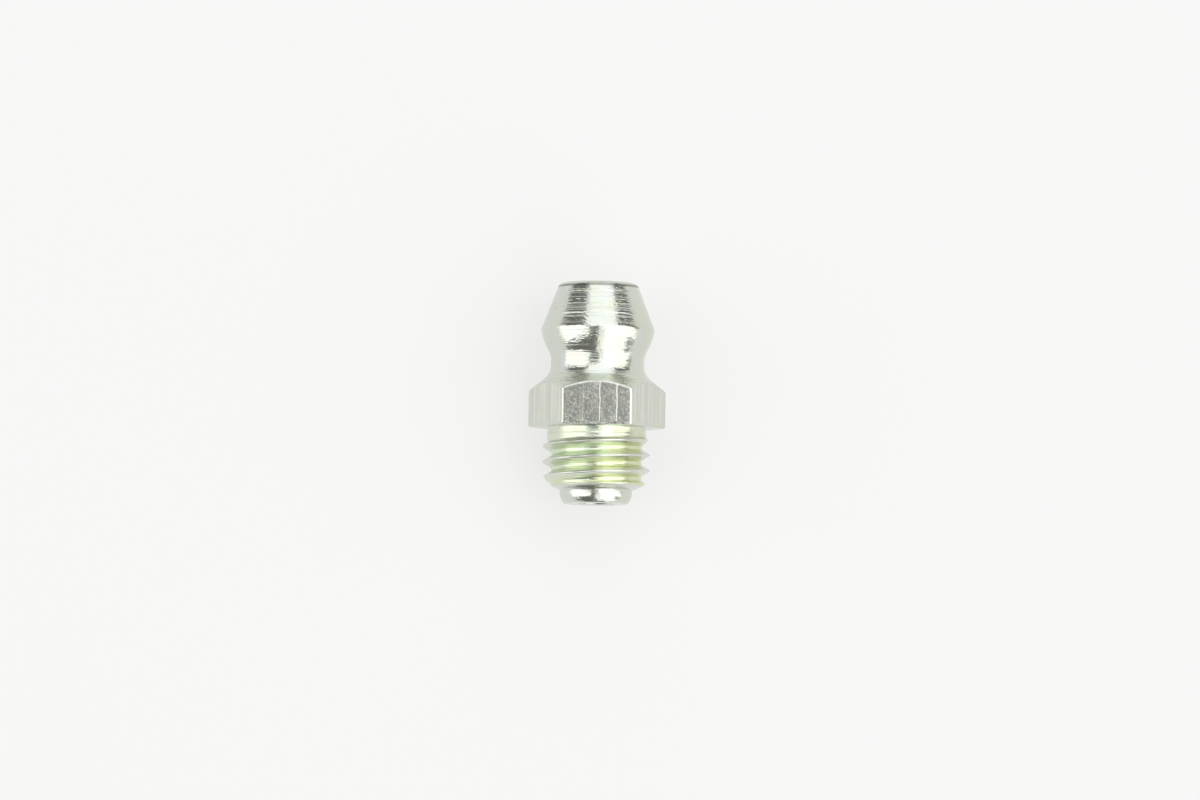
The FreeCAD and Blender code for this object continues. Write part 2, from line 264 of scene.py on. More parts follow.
def cone_run(below_first, below_last):
    """The head's cone, with its rings, between two distances below the head's top."""
    points = []
    foot = below_first
    for ring, depth, half_width in reversed(CONE_RINGS):
        points += straight(cone_point(foot), cone_point(ring + half_width), 7)
        for place, cut in RING_SHAPE:
            height, radius = cone_point(ring + place * half_width)
            points.append((height, radius - cut * depth))
        foot = ring - half_width * (1 + RING_GAP)
    return points + straight(cone_point(foot), cone_point(below_last), 8)


def seat_and_hexagon(turned):
    """Neck, seat face, drawn side and chamfer at one angle."""
    reach = hexagon_reach(turned)
    neck = []
    for i in range(NECK_STEPS):
        height = THREAD_TOP + (-NECK_FILLET - THREAD_TOP) * i / NECK_STEPS
        neck.append((height, neck_radius(height)))
    chamfer_edge = (FLAT_HEIGHT - (reach - FLAT_RADIUS) * math.tan(CHAMFER_ANGLE), reach)
    flare_foot = (FLARE_FOOT, FLARE_FOOT_RADIUS)
    chamfer = rounding((0, reach), chamfer_edge, flare_foot, CHAMFER_ROUND, 4)
    seat_start, seat_end = (0, NECK_RADIUS + NECK_FILLET), (0, reach - SEAT_ROUND)
    return [
        ("rolled", neck),
        ("turned", rounding((-1, NECK_RADIUS), (0, NECK_RADIUS), (0, reach), NECK_FILLET, 4)),
        ("turned", straight(seat_start, seat_end, 6)[1:]),
        ("turned", rounding((0, 0), (0, reach), (1, reach), SEAT_ROUND, 4)),
        ("drawn", straight((SEAT_ROUND, reach), chamfer[0], 8)[1:]),
        ("turned", chamfer),
        ("turned", straight(chamfer[-1], flare_foot, 6)[1:]),
    ]


def waist_and_head():
    """Flare, hollow, back, edge, cone and top, down into the inlet's mouth."""
    flare_centre = (WAIST, WAIST_RADIUS + FLARE_RADIUS)
    back_end = back_last - edge_run / BACK_RADIUS
    edge = rounding(edge_corner - back_tangent, edge_corner, cone_point(0), EDGE_ROUND, 9)
    top = rounding(edge_corner, cone_point(0), (HEAD_TOP, 0), TOP_ROUND, 8)
    mouth_rim = (HEAD_TOP, INLET_RADIUS + INLET_COUNTERSINK)
    inlet = (HEAD_TOP - INLET_COUNTERSINK, INLET_RADIUS)
    mouth = rounding((HEAD_TOP, TOP_RADIUS), mouth_rim, inlet, MOUTH_ROUND, 3)
    return [
        ("turned", arc(flare_centre, FLARE_RADIUS, math.pi + CHAMFER_ANGLE, math.pi, 16)),
        ("turned", arc(hollow_centre, HOLLOW_RADIUS, math.pi, back_first + math.pi, 14)),
        ("turned", arc(back_centre, BACK_RADIUS, back_first, back_end, 20)),
        ("turned", edge),
        ("turned", cone_run(CONE_LENGTH - edge_run, CONE_PLAIN_END)[1:]),
        ("turned", top),
        ("turned", straight(top[-1], mouth[0], 6)[1:]),
        ("turned", mouth),
        ("drilled", [inlet]),
    ]


def passage():
    """Seat, bore and rolled-in lip, down to the outlet in the nose."""
    seat_top = (SEAT_APEX - INLET_RADIUS / math.tan(SEAT_ANGLE), INLET_RADIUS)
    seat_bottom = (SEAT_APEX - BORE_RADIUS / math.tan(SEAT_ANGLE), BORE_RADIUS)
    lip_outer, lip_inner = (LIP_OUTER, BORE_RADIUS), (LIP_INNER, EXIT_RADIUS)
    bevel_inner = (NOSE_END + LIP_BEVEL, EXIT_RADIUS)
    bevel_outer = (NOSE_END, EXIT_RADIUS + LIP_BEVEL)
    return [
        ("drilled", straight(seat_top, seat_bottom, 4)),
        ("drilled", straight(seat_bottom, lip_outer, 4)),
        ("drilled", straight(lip_outer, lip_inner, 3)),
        ("drilled", straight(lip_inner, bevel_inner, 2)),
        ("turned", straight(bevel_inner, bevel_outer, 2)),
    ]


def nose_and_shoulder(turned):
    """End face, the nose's inward curve, and the shoulder up to the thread's lead."""
    curve_centre = (NOSE_CURVE_START, NOSE_RADIUS - NOSE_CURVE)
    tilt = math.asin((NOSE_CURVE_START - NOSE_END) / NOSE_CURVE)
    corner = (NOSE_END, curve_centre[1] + NOSE_CURVE * math.cos(tilt))
    curve_on = (NOSE_END + math.cos(tilt), corner[1] + math.sin(tilt))
    edge = rounding((NOSE_END, 0), corner, curve_on, NOSE_EDGE_ROUND, 4)
    shoulder = []
    for i in range(SHOULDER_STEPS):
        height = NOSE_START + (LEAD_END - NOSE_START) * i / (SHOULDER_STEPS - 1)
        shoulder.append((height, shank_radius(height, turned)))
    return [
        ("turned", straight((NOSE_END, EXIT_RADIUS + LIP_BEVEL), edge[0], 4)),
        ("turned", edge),
        ("turned", arc(curve_centre, NOSE_CURVE, NOSE_EDGE_ROUND - tilt, 0, 10)),
        ("turned", [(NOSE_CURVE_START, NOSE_RADIUS)]),
        ("turned", shoulder),
    ]


def outline(turned):
    """The whole outline at one angle but for the thread, each stretch with its tool's finish."""
    outer = seat_and_hexagon(turned) + waist_and_head()
    return outer + passage() + nose_and_shoulder(turned)


# Angles round the axis, in degrees from a corner: close together over its rounding, then even.

OVER_ROUNDING = [0, 0.33, 0.66, 0.98, 1.31, 1.5, 2.0]
OVER_FLAT = [3 + 1.35 * i for i in range(20)]
CORNER_APART = 60

off_corners = OVER_ROUNDING + OVER_FLAT
sector = [-off for off in reversed(off_corners[1:])] + off_corners
angles = []
for corner_number in range(6):
    corner_angle = CORNER_APART * corner_number
    angles.append(math.radians(corner_angle - CORNER_APART / 2))
    angles += [math.radians(corner_angle + off) for off in sector]
angles.append(angles[0] + 2 * math.pi)

WELD_DECIMALS = 5

finishes = ["turned", "drawn", "rolled", "drilled"]
places = {}
faces = []
face_finishes = []


def weld(height, radius, turned):
    """The number of the point there, the same one where two rows meet."""
    spot = (radius * math.cos(turned), height, -radius * math.sin(turned))
    key = tuple(round(c, WELD_DECIMALS) for c in spot)
    return places.setdefault(key, len(places))


def add_face(corners, finish):
    """A face through points that differ, so rows may meet in a point."""
    loop = list(dict.fromkeys(corners))
    if len(loop) > 2:
        faces.append(loop)
        face_finishes.append(finishes.index(finish))


columns = []
row_finishes = []
for turned in angles:
    stretches = outline(turned)
    columns.append([weld(h, r, turned) for _, points in stretches for h, r in points])
    row_finishes = [finish for finish, points in stretches for _ in points]
for left, right in zip(columns, columns[1:]):
    for i in range(len(left) - 1):
        add_face((left[i], right[i], right[i + 1], left[i + 1]), row_finishes[i])

# The thread's rows climb with its helix, one pitch a turn, and end in the level rows at its ends.
# They are close together at the crests and roots. The turns reach past both ends.

OFF_CREST_STEPS = [0, 0.03, 0.05, 0.075, 0.17, 0.26, 0.3, 0.34, 0.38]
THREAD_TURNS = range(-4, 3)

phases = [off / PITCH for off in OFF_CREST_STEPS] + [0.5]
phases += [1 - off / PITCH for off in reversed(OFF_CREST_STEPS[1:])]
climb = [turn + phase for turn in THREAD_TURNS for phase in phases]
thread_columns = []
for turned in angles:
    column = []
    for steps_up in climb:
        height = FIRST_CREST + PITCH * (steps_up + turned / (2 * math.pi))
        height = min(max(height, LEAD_END), THREAD_TOP)
        column.append(weld(height, shank_radius(height, turned), turned))
    thread_columns.append(column)
for left, right in zip(thread_columns, thread_columns[1:]):
    for i in range(len(left) - 1):
        add_face((left[i], right[i], right[i + 1], left[i + 1]), "rolled")


def closed_mesh(name, points, faces):
    """A smooth mesh from points in millimetres, with its faces turned outwards."""
    mesh = bpy.data.meshes.new(name)
    mesh.from_pydata([Vector(point) * MM for point in points], [], faces)
    shaper = bmesh.new()
    shaper.from_mesh(mesh)
    bmesh.ops.recalc_face_normals(shaper, faces=shaper.faces)
    shaper.to_mesh(mesh)
    shaper.free()
    mesh.shade_smooth()
    return mesh


def put_in_scene(name, data):
    """An object of that mesh, lamp or camera, linked to the scene."""
    placed = bpy.data.objects.new(name, data)
    scene.collection.objects.link(placed)
    return placed


body_mesh = closed_mesh("nipple_body_dressed", list(places), faces)
body_mesh.polygons.foreach_set("material_index", face_finishes)
body = put_in_scene("turned_body", body_mesh)


def colour(written):
    """A colour written as sRGB hex, as the linear colour that a shader takes."""
    channels = []
    for i in (0, 2, 4):
        c = int(written[i:i + 2], 16) / 255
        channels.append(c / 12.92 if c <= 0.04045 else ((c + 0.055) / 1.055) ** 2.4)
    return (*channels, 1)


def add_node(tree, kind, settings, inputs):
    """Add a node with its settings, and write or link each of the inputs that are given."""
    node = tree.nodes.new(kind)
    for name, value in settings.items():
        setattr(node, name, value)
    for name, value in inputs.items():
        if isinstance(value, bpy.types.NodeSocket):
            tree.links.new(value, node.inputs[name])
        else:
            node.inputs[name].default_value = value
    return node


def new_material(name):
    """An empty node material, its tree, and the place on the surface in millimetres."""
    material = bpy.data.materials.new(name)
    material.use_nodes = True
    tree = material.node_tree
    tree.nodes.clear()
    where = add_node(tree, "ShaderNodeTexCoord", {}, {}).outputs["Object"]
    in_mm = add_node(
        tree, "ShaderNodeVectorMath", {"operation": "SCALE"}, {0: where, "Scale": 1 / MM}
    )
    return material, tree, in_mm.outputs[0]


# Sockets of a colour Mix node, which has more than one of each name
SHARE, FIRST, SECOND, MIXED = 0, 6, 7, 2

# Zinc-plated steel, turned: bright metal whose fine rings spread a reflection along the axis
# only, so the lamps show as upright bands with crisp sides. Some rings are scored deeper and
# cross the bands as thin lines. A darker band round the rim of the top is painted dark
# reflection. The real tool feed, about 0.05 mm, is drawn more than twice as wide to show.
# The rings climb with the radius too, so that faces square to the axis have them.
TURNING_FEED = 0.12
RING_BREAK = 0.3
RING_DEPTH = 0.016
RING_CLIMB = -0.7
SCORED_RING_SPACING = 0.24
SCORED_RING_DEPTH = 0.004
PAINTED_DARK_RIM_BELOW_TOP = 0.22
PAINTED_DARK_RIM_HALF_WIDTH = 0.12
CLOUD_SIZE = 1.11
TURNED_ROUGHNESS = 0.175
TURNED_STRETCH = 0.35
TURNED_ZINC = "D2D6D0"
TURNED_ZINC_YELLOW = "D4D8C8"
TURNED_ZINC_PAINTED_DARK_RIM = "8C8E89"

turned_metal, tree, spot = new_material("zinc_plated_steel_turned")
apart = add_node(tree, "ShaderNodeSeparateXYZ", {}, {0: spot})
flat_spot = add_node(
    tree, "ShaderNodeVectorMath", {"operation": "MULTIPLY"}, {0: spot, 1: (1, 0, 1)}
)
off_axis = add_node(
    tree, "ShaderNodeVectorMath", {"operation": "LENGTH"}, {0: flat_spot.outputs[0]}
)
along_cut = add_node(
    tree,
    "ShaderNodeMath",
    {"operation": "MULTIPLY_ADD"},
    {0: off_axis.outputs["Value"], 1: RING_CLIMB, 2: apart.outputs["Y"]},
)
cut_spot = add_node(
    tree,
    "ShaderNodeCombineXYZ",
    {},
    {"X": apart.outputs["X"], "Y": along_cut.outputs[0], "Z": apart.outputs["Z"]},
)
ring_spot = add_node(
    tree,
    "ShaderNodeVectorMath",
    {"operation": "MULTIPLY"},
    {0: cut_spot.outputs[0], 1: (1 / RING_BREAK, 1 / TURNING_FEED, 1 / RING_BREAK)},
)
rings = add_node(
    tree,
    "ShaderNodeTexNoise",
    {},
    {"Vector": ring_spot.outputs[0], "Scale": 1.0, "Detail": 1.0, "Roughness": 0.6},
)
ring_bump = add_node(
    tree, "ShaderNodeBump", {}, {"Height": rings.outputs[0], "Distance": RING_DEPTH * MM}
)
scored_rings = add_node(
    tree,
    "ShaderNodeTexNoise",
    {"noise_dimensions": "1D"},
    {"W": along_cut.outputs[0], "Scale": 1 / SCORED_RING_SPACING, "Detail": 3.0, "Roughness": 0.9},
)
scored = add_node(
    tree,
    "ShaderNodeMapRange",
    {"interpolation_type": "SMOOTHSTEP"},
    {"Value": scored_rings.outputs[0], "From Min": 0.54, "From Max": 0.64},
)
score_bump = add_node(
    tree,
    "ShaderNodeBump",
    {},
    {
        "Height": scored.outputs[0],
        "Distance": SCORED_RING_DEPTH * MM,
        "Normal": ring_bump.outputs[0],
    },
)
clouds = add_node(
    tree, "ShaderNodeTexNoise", {}, {"Vector": spot, "Scale": 1 / CLOUD_SIZE, "Detail": 3.0}
)
cloud_share = add_node(
    tree,
    "ShaderNodeMapRange",
    {},
    {"Value": clouds.outputs[0], "From Min": 0.35, "From Max": 0.65},
)
cloud_tint = add_node(
    tree,
    "ShaderNodeMix",
    {"data_type": "RGBA"},
    {
        SHARE: cloud_share.outputs[0],
        FIRST: colour(TURNED_ZINC),
        SECOND: colour(TURNED_ZINC_YELLOW),
    },
)
# Painted dark reflection: the base colour turns darker in a band round the rim of the top.
above_painted_dark_rim = add_node(
    tree,
    "ShaderNodeMath",
    {"operation": "SUBTRACT"},
    {0: apart.outputs["Y"], 1: HEAD_TOP - PAINTED_DARK_RIM_BELOW_TOP},
)
off_painted_dark_rim = add_node(tree, "ShaderNodeMath", {"operation": "ABSOLUTE"}, {0: above_painted_dark_rim.outputs[0]})
on_painted_dark_rim = add_node(
    tree,
    "ShaderNodeMapRange",
    {"interpolation_type": "SMOOTHSTEP"},
    {"Value": off_painted_dark_rim.outputs[0], "From Min": PAINTED_DARK_RIM_HALF_WIDTH, "From Max": 0.0},
)
painted_dark_rim_tint = add_node(
    tree,
    "ShaderNodeMix",
    {"data_type": "RGBA"},
    {
        SHARE: on_painted_dark_rim.outputs[0],
        FIRST: cloud_tint.outputs[MIXED],
        SECOND: colour(TURNED_ZINC_PAINTED_DARK_RIM),
    },
)
round_axis = add_node(
    tree, "ShaderNodeTangent", {"direction_type": "RADIAL", "axis": "Y"}, {}
)
finish = add_node(
    tree,
    "ShaderNodeBsdfPrincipled",
    {},
    {
        "Base Color": painted_dark_rim_tint.outputs[MIXED],
        "Metallic": 1.0,
        "Roughness": TURNED_ROUGHNESS,
        "Anisotropic": TURNED_STRETCH,
        "Tangent": round_axis.outputs[0],
        "Normal": score_bump.outputs[0],
    },
)
add_node(tree, "ShaderNodeOutputMaterial", {}, {"Surface": finish.outputs[0]})
body_mesh.materials.append(turned_metal)

# Zinc-plated steel, cold drawn: the die leaves a duller skin, finely pitted, with pale streaks
# and a few burnished scores along the bar. The bluish and olive patches are the clear film at two
# thicknesses. The pits, about 0.05 mm across, are drawn three times as wide to show, and their
# pattern is turned, so that it shows no rows on any flat.
PIT_SIZE = 0.15
PIT_DEPTH = 0.0038
PIT_TURN = (0.5, 0.3, 0.7)
PATCH_SIZE = 0.4
PATCHES_IN_GRAIN = 0.3
GRAIN_BRIGHT = 0.19
GRAIN_DULL = 0.28
STREAK_SPACING = 0.25
STREAK_LENGTH = 8.33
DRAWN_ZINC_BLUE = "CBD0CA"
DRAWN_ZINC_OLIVE = "D2D4C6"
DRAWN_ZINC_STREAK = "E2E3D8"
# Each score: its place across the bar, and how deep and dull it is
SCORES = [(0.17, 0.7), (1.15, 0.5), (-0.81, 0.12)]
SCORE_HALF_WIDTH = 0.026
SCORE_DEPTH = 0.01
SCORE_WANDER = 0.16
SCORE_WANDER_LENGTH = 1.25

drawn_metal, tree, spot = new_material("zinc_plated_steel_cold_drawn")
pit_spot = add_node(tree, "ShaderNodeMapping", {}, {"Vector": spot, "Rotation": PIT_TURN})
pits = add_node(
    tree,
    "ShaderNodeTexNoise",
    {},
    {"Vector": pit_spot.outputs[0], "Scale": 1 / PIT_SIZE, "Detail": 2.0, "Roughness": 0.7},
)
pit_bump = add_node(
    tree, "ShaderNodeBump", {}, {"Height": pits.outputs[0], "Distance": PIT_DEPTH * MM}
)
patches = add_node(
    tree, "ShaderNodeTexNoise", {}, {"Vector": spot, "Scale": 1 / PATCH_SIZE, "Detail": 3.0}
)
patch_share = add_node(
    tree,
    "ShaderNodeMapRange",
    {},
    {"Value": patches.outputs[0], "From Min": 0.38, "From Max": 0.62},
)
patch_tint = add_node(
    tree,
    "ShaderNodeMix",
    {"data_type": "RGBA"},
    {
        SHARE: patch_share.outputs[0],
        FIRST: colour(DRAWN_ZINC_BLUE),
        SECOND: colour(DRAWN_ZINC_OLIVE),
    },
)
streak_spot = add_node(
    tree,
    "ShaderNodeVectorMath",
    {"operation": "MULTIPLY"},
    {0: spot, 1: (1 / STREAK_SPACING, 1 / STREAK_LENGTH, 1 / STREAK_SPACING)},
)
streaks = add_node(
    tree,
    "ShaderNodeTexNoise",
    {},
    {"Vector": streak_spot.outputs[0], "Scale": 1.0, "Detail": 3.0},
)
streak_share = add_node(
    tree,
    "ShaderNodeMapRange",
    {},
    {"Value": streaks.outputs[0], "From Min": 0.42, "From Max": 0.66, "To Max": 0.9},
)
streak_tint = add_node(
    tree,
    "ShaderNodeMix",
    {"data_type": "RGBA"},
    {
        SHARE: streak_share.outputs[0],
        FIRST: patch_tint.outputs[MIXED],
        SECOND: colour(DRAWN_ZINC_STREAK),
    },
)
apart = add_node(tree, "ShaderNodeSeparateXYZ", {}, {0: spot})
wander = add_node(
    tree,
    "ShaderNodeTexNoise",
    {"noise_dimensions": "1D"},
    {"W": apart.outputs["Y"], "Scale": 1 / SCORE_WANDER_LENGTH, "Detail": 2.0},
)
across_bar = add_node(
    tree,
    "ShaderNodeMath",
    {"operation": "MULTIPLY_ADD"},
    {0: wander.outputs[0], 1: SCORE_WANDER, 2: apart.outputs["X"]},
)
scored = 0.0
for place, depth in SCORES:
    beside = add_node(
        tree,
        "ShaderNodeMath",
        {"operation": "SUBTRACT"},
        {0: across_bar.outputs[0], 1: place + SCORE_WANDER / 2},
    )
    off_score = add_node(tree, "ShaderNodeMath", {"operation": "ABSOLUTE"}, {0: beside.outputs[0]})
    score = add_node(
        tree,
        "ShaderNodeMapRange",
        {"interpolation_type": "SMOOTHSTEP"},
        {
            "Value": off_score.outputs[0],
            "From Min": SCORE_HALF_WIDTH,
            "From Max": 0.0,
            "To Max": depth,
        },
    )
    deepest = add_node(
        tree, "ShaderNodeMath", {"operation": "MAXIMUM"}, {0: score.outputs[0], 1: scored}
    )
    scored = deepest.outputs[0]
score_bump = add_node(
    tree,
    "ShaderNodeBump",
    {},
    {"Height": scored, "Distance": SCORE_DEPTH * MM, "Normal": pit_bump.outputs[0]},
)
score_tint = add_node(
    tree,
    "ShaderNodeMix",
    {"data_type": "RGBA"},
    {SHARE: scored, FIRST: streak_tint.outputs[MIXED], SECOND: colour(DRAWN_ZINC_STREAK)},
)
mottle = add_node(
    tree,
    "ShaderNodeMath",
    {"operation": "MULTIPLY_ADD"},
    {0: patches.outputs[0], 1: PATCHES_IN_GRAIN, 2: pits.outputs[0]},
)
grain = add_node(
    tree,
    "ShaderNodeMapRange",
    {},
    {
        "Value": mottle.outputs[0],
        "From Min": 0.58,
        "From Max": 0.82,
        "To Min": GRAIN_BRIGHT,
        "To Max": GRAIN_DULL,
    },
)
dullness = add_node(
    tree, "ShaderNodeMath", {"operation": "MAXIMUM"}, {0: grain.outputs[0], 1: scored}
)
finish = add_node(
    tree,
    "ShaderNodeBsdfPrincipled",
    {},
    {
        "Base Color": score_tint.outputs[MIXED],
        "Metallic": 1.0,
        "Roughness": dullness.outputs[0],
        "Normal": score_bump.outputs[0],
    },
)
add_node(tree, "ShaderNodeOutputMaterial", {}, {"Surface": finish.outputs[0]})
body_mesh.materials.append(drawn_metal)

# Zinc-plated steel, thread rolled: smooth burnished metal with faint lines round it from the
# dies. The clear film gathers in the grooves, and the flanks reflect each other, so the roots look
# yellow-green and the crests stay silver. The lines, under 0.05 mm, are drawn wider to show.
FILM_FROM_RADIUS = 3.07
FILM_FULL_RADIUS = 2.7
FILM_SIZE = 2.0
RIPPLE_SIZE = 0.333
RIPPLE_DEPTH = 0.02
ROLLING_LINE_SPACING = 0.13
ROLLING_LINE_DEPTH = 0.034
ROLLED_ROUGHNESS = 0.27
ROLLED_ZINC = "DADDD3"
ROLLED_ZINC_ROOT_GREEN = "D4DFC7"
ROLLED_ZINC_ROOT_YELLOW = "D8DDB8"

rolled_metal, tree, spot = new_material("zinc_plated_steel_rolled")
flat_spot = add_node(
    tree, "ShaderNodeVectorMath", {"operation": "MULTIPLY"}, {0: spot, 1: (1, 0, 1)}
)
off_axis = add_node(
    tree, "ShaderNodeVectorMath", {"operation": "LENGTH"}, {0: flat_spot.outputs[0]}
)
in_groove = add_node(
    tree,
    "ShaderNodeMapRange",
    {"interpolation_type": "SMOOTHSTEP"},
    {
        "Value": off_axis.outputs["Value"],
        "From Min": FILM_FROM_RADIUS,
        "From Max": FILM_FULL_RADIUS,
    },
)
film = add_node(
    tree, "ShaderNodeTexNoise", {}, {"Vector": spot, "Scale": 1 / FILM_SIZE, "Detail": 2.0}
)
apart = add_node(tree, "ShaderNodeSeparateXYZ", {}, {0: spot})
film_run = add_node(
    tree,
    "ShaderNodeMath",
    {"operation": "MULTIPLY_ADD"},
    {0: apart.outputs["X"], 1: 1 / (4 * CREST_RADIUS), 2: film.outputs[0]},
)
film_share = add_node(
    tree,
    "ShaderNodeMapRange",
    {},
    {"Value": film_run.outputs[0], "From Min": 0.25, "From Max": 0.75},
)
film_tint = add_node(
    tree,
    "ShaderNodeMix",
    {"data_type": "RGBA"},
    {
        SHARE: film_share.outputs[0],
        FIRST: colour(ROLLED_ZINC_ROOT_GREEN),
        SECOND: colour(ROLLED_ZINC_ROOT_YELLOW),
    },
)
groove_tint = add_node(
    tree,
    "ShaderNodeMix",
    {"data_type": "RGBA"},
    {
        SHARE: in_groove.outputs[0],
        FIRST: colour(ROLLED_ZINC),
        SECOND: film_tint.outputs[MIXED],
    },
)
ripple = add_node(
    tree, "ShaderNodeTexNoise", {}, {"Vector": spot, "Scale": 1 / RIPPLE_SIZE, "Detail": 4.0}
)
ripple_bump = add_node(
    tree, "ShaderNodeBump", {}, {"Height": ripple.outputs[0], "Distance": RIPPLE_DEPTH * MM}
)
lines = add_node(
    tree,
    "ShaderNodeTexNoise",
    {"noise_dimensions": "1D"},
    {"W": apart.outputs["Y"], "Scale": 1 / ROLLING_LINE_SPACING, "Detail": 2.0},
)
line_bump = add_node(
    tree,
    "ShaderNodeBump",
    {},
    {
        "Height": lines.outputs[0],
        "Distance": ROLLING_LINE_DEPTH * MM,
        "Normal": ripple_bump.outputs[0],
    },
)
finish = add_node(
    tree,
    "ShaderNodeBsdfPrincipled",
    {},
    {
        "Base Color": groove_tint.outputs[MIXED],
        "Metallic": 1.0,
        "Roughness": ROLLED_ROUGHNESS,
        "Normal": line_bump.outputs[0],
    },
)
add_node(tree, "ShaderNodeOutputMaterial", {}, {"Surface": finish.outputs[0]})
body_mesh.materials.append(rolled_metal)

# Zinc-plated steel, drilled: plating is thin in the passage, so it is darker and duller there,
# with the drill's marks on it.
MARK_SIZE = 0.167
MARK_DEPTH = 0.01
DRILLED_ROUGHNESS = 0.42
DRILLED_ZINC = "A9AA9C"

drilled_metal, tree, spot = new_material("zinc_plated_steel_drilled")
marks = add_node(
    tree, "ShaderNodeTexNoise", {}, {"Vector": spot, "Scale": 1 / MARK_SIZE, "Detail": 3.0}
)
mark_bump = add_node(
    tree, "ShaderNodeBump", {}, {"Height": marks.outputs[0], "Distance": MARK_DEPTH * MM}
)
finish = add_node(
    tree,
    "ShaderNodeBsdfPrincipled",
    {},
    {
        "Base Color": colour(DRILLED_ZINC),
        "Metallic": 1.0,
        "Roughness": DRILLED_ROUGHNESS,
        "Normal": mark_bump.outputs[0],
    },
)
add_node(tree, "ShaderNodeOutputMaterial", {}, {"Surface": finish.outputs[0]})
body_mesh.materials.append(drilled_metal)

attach(body, "nipple")
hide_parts("nipple_body")

# Check ball
# A through-hardened chrome steel bearing ball, lapped to a mirror. It sits on the cone just under
# the inlet, and only its crown shows in the hole.

BALL_SUBDIVISIONS = 5

ball_mesh = bpy.data.meshes.new("check_ball_dressed")
shaper = bmesh.new()
bmesh.ops.create_icosphere(
    shaper,
    subdivisions=BALL_SUBDIVISIONS,
    radius=BALL_RADIUS * MM,
    matrix=Matrix.Translation((0, BALL * MM, 0)),
)
shaper.to_mesh(ball_mesh)
shaper.free()
ball_mesh.shade_smooth()
ball = put_in_scene("bearing_ball", ball_mesh)

# Chrome steel, lapped: a clean mirror with a faint haze from handling.
HAZE_SIZE = 0.4
LAPPED_ROUGHNESS = 0.05
HAZED_ROUGHNESS = 0.14
BALL_STEEL = "C9CBCC"

ball_metal, tree, spot = new_material("chrome_steel_lapped")
haze = add_node(
    tree, "ShaderNodeTexNoise", {}, {"Vector": spot, "Scale": 1 / HAZE_SIZE, "Detail": 4.0}
)
hazed = add_node(
    tree,
    "ShaderNodeMapRange",
    {},
    {"Value": haze.outputs[0], "To Min": LAPPED_ROUGHNESS, "To Max": HAZED_ROUGHNESS},
)
finish = add_node(
    tree,
    "ShaderNodeBsdfPrincipled",
    {},
    {"Base Color": colour(BALL_STEEL), "Metallic": 1.0, "Roughness": hazed.outputs[0]},
)
add_node(tree, "ShaderNodeOutputMaterial", {}, {"Surface": finish.outputs[0]})
ball_mesh.materials.append(ball_metal)

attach(ball, "ball")
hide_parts("check_ball")

# Check spring
# Patented spring wire, coiled cold, with a closed coil at each end. It stands on the rolled-in
# lip and presses the ball up.

WIRE_RADIUS = 0.15
COIL_RADIUS = 1.1
COIL_BOTTOM = -3.8572
COIL_TOP = 6.2024
CLOSED_TURNS = 0.75
CLOSED_RISE = 0.24
OPEN_TURNS = 6.5
ALL_TURNS = 2 * CLOSED_TURNS + OPEN_TURNS
STEPS_PER_TURN = 56
WIRE_SIDES = 16


def wire_height(turns):
    """Height of the wire's middle after some turns from the lip."""
    if turns <= CLOSED_TURNS:
        return COIL_BOTTOM + CLOSED_RISE * turns / CLOSED_TURNS
    if turns >= CLOSED_TURNS + OPEN_TURNS:
        return COIL_TOP - CLOSED_RISE * (ALL_TURNS - turns) / CLOSED_TURNS
    open_rise = COIL_TOP - COIL_BOTTOM - 2 * CLOSED_RISE
    return COIL_BOTTOM + CLOSED_RISE + open_rise * (turns - CLOSED_TURNS) / OPEN_TURNS


wire_points = []
wire_faces = []
steps = round(ALL_TURNS * STEPS_PER_TURN)
for i in range(steps + 1):
    turns = ALL_TURNS * i / steps
    swing = 2 * math.pi * turns
    outwards = Vector((math.cos(swing), 0, -math.sin(swing)))
    middle = outwards * COIL_RADIUS + Vector((0, wire_height(turns), 0))
    for side in range(WIRE_SIDES):
        round_wire = 2 * math.pi * side / WIRE_SIDES
        spoke = outwards * math.cos(round_wire) + Vector((0, 1, 0)) * math.sin(round_wire)
        wire_points.append(middle + spoke * WIRE_RADIUS)
for i in range(steps):
    near, far = i * WIRE_SIDES, (i + 1) * WIRE_SIDES
    for side in range(WIRE_SIDES):
        after = (side + 1) % WIRE_SIDES
        wire_faces.append((near + side, near + after, far + after, far + side))
wire_faces.append(tuple(range(WIRE_SIDES)))
wire_faces.append(tuple(steps * WIRE_SIDES + side for side in reversed(range(WIRE_SIDES))))

spring_mesh = closed_mesh("check_spring_dressed", wire_points, wire_faces)
spring = put_in_scene("coil_spring", spring_mesh)

# Spring steel, cold drawn: grey-brown and satin, from drawing soap and stress-relief heat.
BLOOM_SIZE = 0.2
WIRE_ROUGHNESS = 0.24
BLOOMED_ROUGHNESS = 0.42
SPRING_STEEL = "A6A29A"

spring_metal, tree, spot = new_material("spring_steel_cold_drawn")
bloom = add_node(
    tree, "ShaderNodeTexNoise", {}, {"Vector": spot, "Scale": 1 / BLOOM_SIZE, "Detail": 3.0}
)
bloomed = add_node(
    tree,
    "ShaderNodeMapRange",
    {},
    {"Value": bloom.outputs[0], "To Min": WIRE_ROUGHNESS, "To Max": BLOOMED_ROUGHNESS},
)
finish = add_node(
    tree,
    "ShaderNodeBsdfPrincipled",
    {},
    {"Base Color": colour(SPRING_STEEL), "Metallic": 1.0, "Roughness": bloomed.outputs[0]},
)
add_node(tree, "ShaderNodeOutputMaterial", {}, {"Surface": finish.outputs[0]})
spring_mesh.materials.append(spring_metal)

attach(spring, "nipple")
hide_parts("check_spring")
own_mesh(spring)

# Paper
# Smooth white drawing paper that the nipple lies on. It is larger than any view of it.

PAPER_HALF = 900

half, low = PAPER_HALF * MM, -FLAT_RADIUS * MM
paper_corners = [(-half, -half, low), (half, -half, low), (half, half, low), (-half, half, low)]
paper_mesh = bpy.data.meshes.new("paper")
paper_mesh.from_pydata(paper_corners, [], [(0, 1, 2, 3)])
paper = put_in_scene("paper", paper_mesh)

